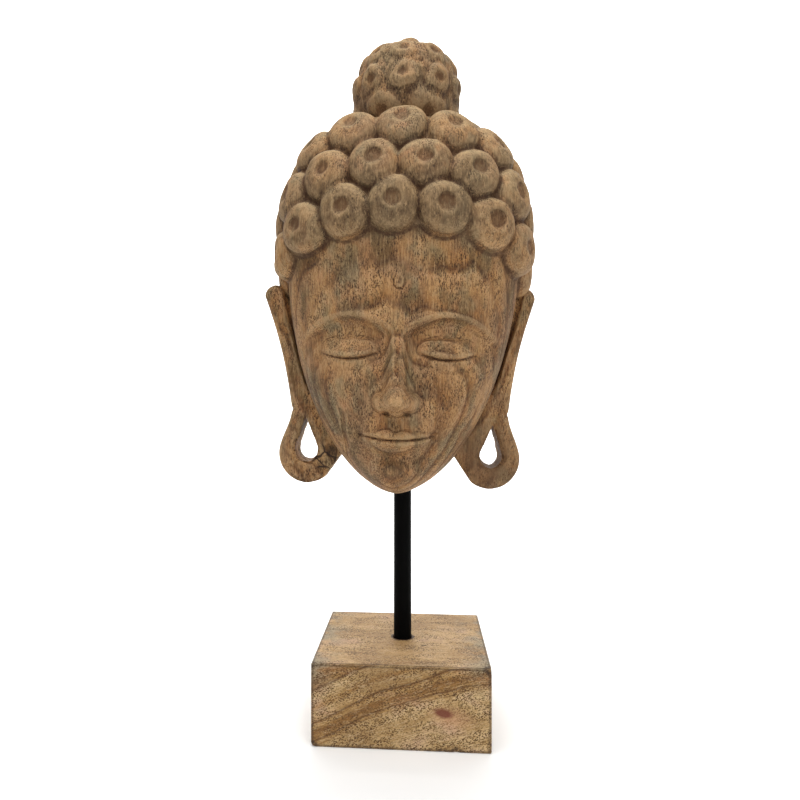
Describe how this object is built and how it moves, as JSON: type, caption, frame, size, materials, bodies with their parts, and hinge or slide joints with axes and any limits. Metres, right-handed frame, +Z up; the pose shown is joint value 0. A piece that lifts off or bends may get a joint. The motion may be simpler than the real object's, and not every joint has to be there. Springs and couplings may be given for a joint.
{
  "type": "carved wooden buddha mask on a rod stand",
  "caption": "Calm carved wooden head mask with curled hair, topknot and looped ears, hollow behind, on a black rod in a wood block.",
  "frame": {"origin": "centre of the block's flat underside", "axes": "+Z up along the rod, the face looks along -Y, +X to the right as seen from the front"},
  "size_m": [0.2002, 0.144, 0.493],
  "materials": {
    "carved_wood": "weathered natural hardwood, carved by hand, dark in its grooves",
    "black_steel": "black powder coat, satin",
    "pale_wood": "planed pale wood with dark diagonal streaks, unvarnished"
  },
  "bodies": {
    "root": {"mask": "carved_wood", "rod": "black_steel", "block": "pale_wood"}
  },
  "joints": []
}
